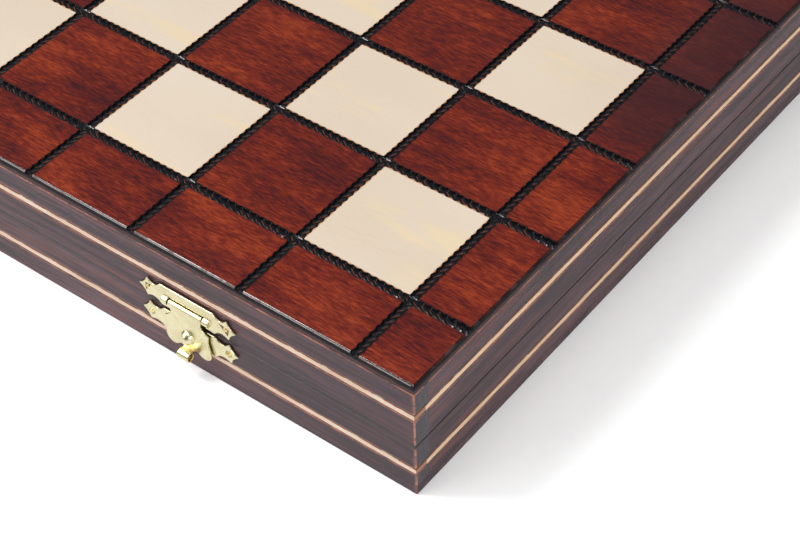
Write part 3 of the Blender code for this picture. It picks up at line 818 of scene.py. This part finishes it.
def dome(radius, rise, steps):
    """The profile of a dome from its rim to just short of its top."""
    angles = [radians(90 * i / steps) for i in range(steps)]
    return [(radius * cos(a), rise * sin(a)) for a in angles]


def brad(name, x, z, body, finishes):
    """A small domed nail head."""
    rise, below = 0.55 * BRAD_RADIUS, -0.5 * MM
    shank = [(0, below), (0.6 * BRAD_RADIUS, below)]
    profile = shank + dome(BRAD_RADIUS, rise, 6) + [(0, rise)]
    mesh = turned(name, profile, 24)
    smooth(mesh, 50)
    face = Matrix.Translation((x, FRONT - PLATE_FACE + 0.25 * MM, z)) @ Matrix.Rotation(pi / 2, 4, "X")
    mesh.transform(face)
    piece(name, mesh, [finishes["gold_brass_and_painted_reflection"]], body, "brass")


def latches(finishes):
    """Both latches: fishtailed plates, the hasp with its dome and curl, and four brads each."""
    metal = [finishes["brass"], finishes["tarnish_and_shade"], finishes["gold_brass_and_painted_reflection"]]
    brads = ((BRAD_OUT, UPPER_BRAD_Z), (BRAD_OUT, LOWER_BRAD_Z))
    sunk = 0.3 * MM

    def upper_push(across, out, up):
        crown = np.clip(1 - ((up - CROWN_Z) / CROWN_HALF) ** 2, 0, 1)
        crown *= np.clip((CROWN_END - np.abs(across)) / (1.2 * MM), 0, 1)
        hollows = bowl(across, up, brads[0], BRAD_HOLLOW, sunk)
        return 0.45 * MM * crown * (out < 1.6 * MM) + hollows

    def lower_push(across, out, up):
        return bowl(across, up, brads[1], BRAD_HOLLOW, sunk)

    def plate_tint(across, out, up):
        # Tarnish and painted shade: faces in the countersink ring round each brad take the dark brown
        # finish.
        from_brad = np.minimum(*(np.hypot(np.abs(across) - x, up - z) for x, z in brads))
        return np.where((from_brad < BRAD_RADIUS * 1.15) & (out > 0.5 * MM), 1, 0)

    def hasp_push(across, out, up):
        return -2 * bowl(across, up, (0, DOME_Z), 2.6 * MM, 0.4 * MM) * (out > 2.0 * MM)

    def hasp_tint(across, out, up):
        # Painted reflection and shade: the concave fillet over the curl and the inside of the curl take the
        # yellower, darker brass finish.
        fillet = (np.abs(across) < 2.6 * MM) & (up < 11.6 * MM) & (out > 2.35 * MM) & (out < 3.7 * MM)
        inside = (np.abs(across) > 2.3 * MM) & (up < 11.3 * MM) & (out > 2.5 * MM)
        return np.where(fillet | inside, 2, 0)

    for side, x in (("left", -LATCH_X), ("right", LATCH_X)):
        upper, lower = f"latch_{side}_upper_plate", f"latch_{side}_lower_plate"
        pressed(upper, f"latch_{side}_upper_pressing", "lid", metal, upper_push, plate_tint)
        pressed(lower, f"latch_{side}_lower_pressing", "base", metal, lower_push, plate_tint)
        pressed(f"hasp_{side}", f"hasp_{side}_pressing", f"{side}_hasp", metal, hasp_push, hasp_tint)
        for end, way in (("outer", 1), ("inner", -1)):
            at = x + (way if x > 0 else -way) * BRAD_OUT
            brad(f"latch_{side}_upper_brad_{end}", at, UPPER_BRAD_Z, "lid", finishes)
            brad(f"latch_{side}_lower_brad_{end}", at, LOWER_BRAD_Z, "base", finishes)


def screw_head(name, x, z, body, finishes):
    """A small domed screw head with a slot, on a hinge leaf."""
    radius, rise, below = 1.9 * MM, 0.6 * MM, -0.2 * MM
    slot_half, slot_floor = 0.3 * MM, 0.15 * MM
    profile = [(0, below), (radius, below)] + dome(radius, rise, 5)
    profile += [(radius * share, rise) for share in (0.18, 0.12, 0.06, 0)]

    def cut(place):
        if place.z > 0 and abs(place.x) < slot_half:
            place.z = min(place.z, slot_floor)
        return place

    mesh = turned(name, profile, 36, cut)
    smooth(mesh, 40)
    out = BACK + 1.1 * MM
    mesh.transform(Matrix.Translation((x, out, z)) @ Matrix.Rotation(-pi / 2, 4, "X"))
    piece(name, mesh, [finishes["brass"]], body, "brass")


def hinges(finishes):
    """Both hinges on the back, with three screws in each leaf."""
    for side, x in (("left", -HINGE_X), ("right", HINGE_X)):
        for leaf, body, way in (("lid", "lid", 1), ("base", "base", -1)):
            rounded_node(f"hinge_{side}_{leaf}_leaf", 0.2 * MM, 2, [finishes["brass"]])
            for number, offset in enumerate((-10 * MM, 0, 10 * MM), 1):
                z = SEAM_Z + way * (8.6 * MM if offset else 7.4 * MM)
                screw_head(f"hinge_{side}_{leaf}_screw_{number}", x + offset, z, body, finishes)
        rounded_node(f"hinge_{side}_pin", 0.2 * MM, 2, [finishes["brass"]])


# ---- the men


def ball(radius, z, start, steps):
    """The profile of a ball from an angle above its lowest point to its top."""
    angles = [radians(start + (180 - start) * i / steps) for i in range(steps)]
    return [(radius * sin(a), z - radius * cos(a)) for a in angles] + [(0, z + radius)]


def outline(r, h, *shares):
    """Places on a man's outline, from shares of its foot's radius and of its height."""
    return [(across * r, up * h) for across, up in shares]


def foot(r, h, stem, neck_z):
    """Profile of the foot: a rim, a bead, a hollow curve and a slim stem."""
    points = [(r - 0.5 * MM, 0), (r, 0.5 * MM)]
    points += outline(r, h, (1, RIM), (0.93, 0.085), (0.80, 0.095), (0.80, 0.105), (0.84, 0.12))
    points += outline(r, h, (0.80, 0.145), (0.66, 0.155), (0.62, 0.17), (0.50, 0.22))
    return points + [(0.5 * (stem + 0.42 * r), 0.33 * h), (stem, 0.46 * neck_z + 0.2 * h), (stem, neck_z)]


def man_profile(kind, h, r):
    """The turned outline of a man, from the middle of its underside to its top."""
    if kind == "pawn":
        neck = outline(r, h, (0.44, 0.575), (0.60, 0.59), (0.60, 0.62), (0.42, 0.645))
        upper = foot(r, h, 0.34 * r, 0.56 * h) + neck + ball(0.19 * h, 0.81 * h, 28, 9)
    elif kind == "rook":
        head = outline(r, h, (0.54, 0.66), (0.72, 0.70), (0.72, 0.76), (0.76, 0.78), (0.76, 1))
        head += outline(r, h, (0.57, 1), (0.55, 0.91), (0.30, 0.90), (0, 0.90))
        upper = foot(r, h, 0.50 * r, 0.62 * h) + head
    elif kind == "knight":
        collar = outline(r, h, (0.60, 0.25), (0.74, 0.28), (0.74, 0.32), (0.30, 0.335), (0, 0.335))
        upper = foot(r, h, 0.66 * r, 0.25 * h)[:-2] + collar
    elif kind == "bishop":
        neck = outline(r, h, (0.40, 0.575), (0.55, 0.59), (0.55, 0.61), (0.34, 0.635), (0.36, 0.655))
        mitre = outline(r, h, (0.50, 0.72), (0.50, 0.78), (0.36, 0.86), (0.12, 0.925))
        upper = foot(r, h, 0.30 * r, 0.56 * h) + neck + mitre + ball(0.035 * h, 0.965 * h, 40, 5)
    else:
        neck = outline(r, h, (0.40, 0.595), (0.58, 0.61), (0.58, 0.63), (0.38, 0.655))
        crown = outline(r, h, (0.40, 0.70), (0.50, 0.80), (0.62, 0.865), (0.58, 0.885))
        crown += outline(r, h, (0.50, 0.875), (0.42, 0.90), (0.14, 0.93))
        top = ball(0.032 * h, 0.968 * h, 40, 5) if kind == "queen" else [(0, 0.935 * h)]
        upper = foot(r, h, 0.32 * r, 0.58 * h) + neck + crown + top
    return [(0, 0)] + rounded(upper)


def man_shape(kind, h, r):
    """How a man's turned shape is cut afterwards: battlements, a mitre's slit or a crown's points."""

    def rook(place):
        turn = atan2(place.y, place.x)
        if place.z > 0.935 * h and cos(4 * turn) > 0.35:
            place.z = 0.935 * h
        return place

    def queen(place):
        turn = atan2(place.y, place.x)
        if 0.84 * h < place.z < 0.90 * h and place.xy.length > 0.45 * r:
            place.xy *= 1 - 0.10 * max(0, cos(9 * turn))
            place.z -= 0.012 * h * max(0, cos(9 * turn))
        return place

    def bishop(place):
        slit = (place.z - 0.79 * h) * cos(0.6) - place.x * sin(0.6)
        if place.x > 0 and abs(slit) < 0.55 * MM:
            place.xy *= 0.74
        return place

    return {"rook": rook, "queen": queen, "bishop": bishop}.get(kind)


def even_steps(profile, step):
    """The same profile with no stretch longer than the step."""
    points = [profile[0]]
    for (ax, ay), (bx, by) in zip(profile, profile[1:]):
        parts = max(1, int(np.hypot(bx - ax, by - ay) / step)) if ax > 0 and bx > 0 else 1
        points += [(ax + (bx - ax) * i / parts, ay + (by - ay) * i / parts) for i in range(1, parts + 1)]
    return points


def king_cross(h):
    """The cross on the king's crown, as two flared arms."""
    bm = bmesh.new()
    for half_x, half_z, z in ((0.011, 0.045, 0.957), (0.036, 0.011, 0.965)):
        for corner in block(bm, (0, 0, z * h), (half_x * h, 0.013 * h, half_z * h)):
            corner.co.z = min(corner.co.z, h)
    chamfer(bm, 0.004 * h, 3)
    return mesh_from("king_cross", bm)


def horse_head(h, r):
    """The knight's head: a carved board, thick at the jaw and neck, with a notched mane."""
    crest = [(-0.17, 0.31), (-0.215, 0.42), (-0.22, 0.55), (-0.19, 0.68), (-0.13, 0.80), (-0.04, 0.90)]
    ears = [(-0.03, 0.985), (0.02, 1.0), (0.055, 0.91)]
    face = [(0.12, 0.87), (0.19, 0.79), (0.25, 0.71), (0.30, 0.65), (0.285, 0.585), (0.24, 0.57)]
    throat = [(0.17, 0.60), (0.10, 0.615), (0.065, 0.56), (0.09, 0.48), (0.155, 0.40), (0.17, 0.31)]
    edge = outline(h, h, *crest, *ears, *face, *throat)
    bm = bmesh.new()
    half = 0.36 * r
    sides = [[bm.verts.new((x, y, z)) for x, z in edge] for y in (-half, half)]
    bm.faces.new(sides[0])
    bm.faces.new(sides[1][::-1])
    for i in range(len(edge)):
        j = (i + 1) % len(edge)
        bm.faces.new((sides[0][i], sides[1][i], sides[1][j], sides[0][j]))
    mesh = softened(mesh_from("rough_head", bm), 0.55 * MM, 4)
    places = vectors(mesh.vertices, "co")
    x, z = places[:, 0] / h, places[:, 2] / h

    def spot(at_x, at_z, wide, high):
        return np.exp(-(((x - at_x) / wide) ** 2 + ((z - at_z) / high) ** 2))

    cheek = spot(0.03, 0.70, 0.10, 0.11)
    neck = np.clip((0.55 - z) / 0.2, 0, 1)
    ear = np.clip((z - 0.86) / 0.08, 0, 1)
    width = 0.60 + 0.32 * cheek + 0.36 * neck - 0.18 * ear
    mane = np.clip((-0.08 - x) / 0.05, 0, 1) * (np.sin(2 * pi * (z - 0.5 * x) / 0.075) > 0.2)
    eye = spot(0.085, 0.80, 0.018, 0.018)
    nostril = spot(0.262, 0.64, 0.014, 0.014)
    mouth = np.exp(-(((z - 0.605 - 0.1 * (x - 0.2)) / 0.007) ** 2)) * (x > 0.20)
    places[:, 1] *= width * (1 - 0.14 * mane) * (1 - 0.20 * eye - 0.3 * nostril - 0.25 * mouth)
    mesh.vertices.foreach_set("co", places.ravel())
    return mesh


def joined(name, meshes):
    bm = bmesh.new()
    for mesh in meshes:
        bm.from_mesh(mesh)
    mesh = bpy.data.meshes.new(name)
    bm.to_mesh(mesh)
    bm.free()
    return mesh


def man_mesh(kind, colour):
    height, radius = MEN[kind]
    profile = even_steps(man_profile(kind, height, radius), 0.7 * MM)
    parts = [turned(kind, profile, MAN_SIDES, man_shape(kind, height, radius))]
    if kind == "king":
        parts.append(king_cross(height))
    if kind == "knight":
        parts.append(horse_head(height, radius))
    mesh = joined(f"{colour}_{kind}", parts)
    for face in mesh.polygons:
        face.material_index = int(face.center.z < 0.05 * MM)
    smooth(mesh, 40)
    return mesh


def resting_tilt(kind):
    """How far a man lying on its side dips towards its head, resting on its foot and its widest part."""
    height, radius = MEN[kind]
    head_radius, head_z = {
        "king": (0.62 * radius, 0.87 * height),
        "queen": (0.62 * radius, 0.87 * height),
        "bishop": (0.50 * radius, 0.74 * height),
        "knight": (0.36 * radius, 1.00 * height),
        "rook": (0.76 * radius, height),
        "pawn": (0.19 * height, 0.81 * height),
    }[kind]
    return atan2(radius - head_radius, head_z - RIM * height)


def lay_man(node, kind, mesh, materials, x, foot_y, toward):
    """Lays a man on the felt where its CAD node lies."""
    height, radius = MEN[kind]
    tilt = resting_tilt(kind)
    rest_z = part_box("base_felt")[1].z + 0.3 * MM + radius * cos(tilt) + RIM * height * sin(tilt)
    turn = Matrix.Rotation(-toward * (pi / 2 + tilt), 4, "X")
    own = mesh.copy()
    own.transform(Matrix.Translation((x, foot_y, rest_z)) @ turn)
    piece(f"{node}_turned", own, materials, "base", node.split("_")[0] + "_men", node)


def chess_men(finishes):
    """Light men in the front bay, dark men in the back bay, and the pawns between them."""
    bay_edge = -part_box("base_wall_front")[1].y
    pawn_y = -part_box("divider_front")[1].y - PAWN_MARGIN
    for colour, toward in (("light", 1), ("dark", -1)):
        materials = [finishes[colour + "_men"], finishes["felt"]]
        shapes = {kind: man_mesh(kind, colour) for kind in MEN}
        seen = {}
        for column, kind in enumerate(BACK_RANK):
            x = (column - (len(BACK_RANK) - 1) / 2) * MAN_PITCH
            seen[kind] = seen.get(kind, 0) + 1
            number = f"_{seen[kind]}" if BACK_RANK.count(kind) > 1 else ""
            foot_y = -toward * (bay_edge - FOOT_MARGIN)
            lay_man(f"{colour}_{kind}{number}", kind, shapes[kind], materials, x, foot_y, toward)
            pawn = f"{colour}_pawn_{column + 1}"
            lay_man(pawn, "pawn", shapes["pawn"], materials, x, -toward * pawn_y, toward)


# ---- camera, floor and light

CAMERA_AT = (0.4423, -0.5082, 0.4817)
CAMERA_AZIMUTH, CAMERA_ELEVATION, CAMERA_ROLL = 39.02, 44.84, -2.15
LENS = 90.0


def camera():
    """Looks down at the near right corner of the closed case."""
    azimuth, elevation, roll = (radians(a) for a in (CAMERA_AZIMUTH, CAMERA_ELEVATION, CAMERA_ROLL))
    right = Vector((cos(azimuth), sin(azimuth), 0))
    back = Vector((sin(azimuth) * cos(elevation), -cos(azimuth) * cos(elevation), sin(elevation)))
    up = back.cross(right)
    turned_right = right * cos(roll) + up * sin(roll)
    turned_up = back.cross(turned_right)
    data = bpy.data.cameras.new("camera")
    data.lens = LENS
    obj = placed("camera", data)
    axes = Matrix((turned_right, turned_up, back)).transposed().to_4x4()
    obj.matrix_world = Matrix.Translation(CAMERA_AT) @ axes
    bpy.context.scene.camera = obj


def floor():
    """A wide sheet of white paper that the case stands on."""
    bm = bmesh.new()
    bmesh.ops.create_grid(bm, x_segments=8, y_segments=8, size=6)
    obj = placed("floor", mesh_from("floor", bm))
    obj.data.materials.append(floor_finish())
    obj.location.z = -0.05 * MM


def softbox(name, place, target, size, power):
    data = bpy.data.lights.new(name, "AREA")
    data.shape = "RECTANGLE"
    data.size, data.size_y = size
    data.energy = power
    obj = placed(name, data)
    obj.location = place
    obj.rotation_mode = "QUATERNION"
    obj.rotation_quaternion = (Vector(target) - Vector(place)).to_track_quat("-Z", "Y")


def studio():
    """A light tent: soft boxes overhead, front left, high left and right, and a dim surround."""
    world = bpy.data.worlds.new("tent")
    world.use_nodes = True
    nodes, links = world.node_tree.nodes, world.node_tree.links
    background = nodes["Background"]
    background.inputs["Color"].default_value = (1, 1, 1, 1)
    seen = nodes.new("ShaderNodeLightPath").outputs["Is Camera Ray"]
    strength = nodes.new("ShaderNodeMapRange")
    strength.inputs["To Min"].default_value = 0.16
    strength.inputs["To Max"].default_value = 0.95
    links.new(seen, strength.inputs["Value"])
    links.new(strength.outputs[0], background.inputs["Strength"])
    bpy.context.scene.world = world
    softbox("overhead", (0.3, -0.4, 1.9), (0, 0, 0), (1.8, 1.4), 21)
    softbox("front_left", (-1.15, -1.6, 1.15), (0, 0, 0.05), (1.5, 0.9), 18)
    softbox("high_left", (-0.95, -0.75, 1.75), (0, 0, 0.05), (0.55, 0.55), 20)
    softbox("right", (1.6, -1.0, 0.8), (0.1, 0, 0.05), (1.0, 0.8), 18)
    bpy.context.scene.view_settings.view_transform = "Standard"


def finishes_of_all():
    """Every finish, by its name."""
    wall_woods = {"case_along_x": case_wood(0), "case_along_y": case_wood(1)}
    light = ((0.62, 0.42, 0.22), (0.76, 0.57, 0.34), (0.84, 0.68, 0.45))
    dark = ((0.030, 0.010, 0.006), (0.085, 0.026, 0.013), (0.16, 0.052, 0.024))
    men = {
        "light_men": turned_wood("light_men", 0.4, *light),
        "dark_men": turned_wood("dark_men", 0.5, *dark),
    }
    makers = (stained_veneer, pale_veneer, burnt_line, panel_edge, glossy_arris, end_grain)
    makers += (worn_arris, inlay_wood, brass, gold_brass_and_painted_reflection, tarnish_and_shade, felt)
    return {maker.__name__: maker() for maker in makers} | wall_woods | men


def main():
    finishes = finishes_of_all()
    camera()
    floor()
    studio()
    board_top(finishes)
    case_walls(finishes)
    glue_lines(finishes)
    foot_filler(finishes)
    felt_sheet("base_lining", "base_felt", "base", finishes)
    felt_sheet("lid_lining", "lid_felt", "lid", finishes)
    latches(finishes)
    hinges(finishes)
    chess_men(finishes)


main()
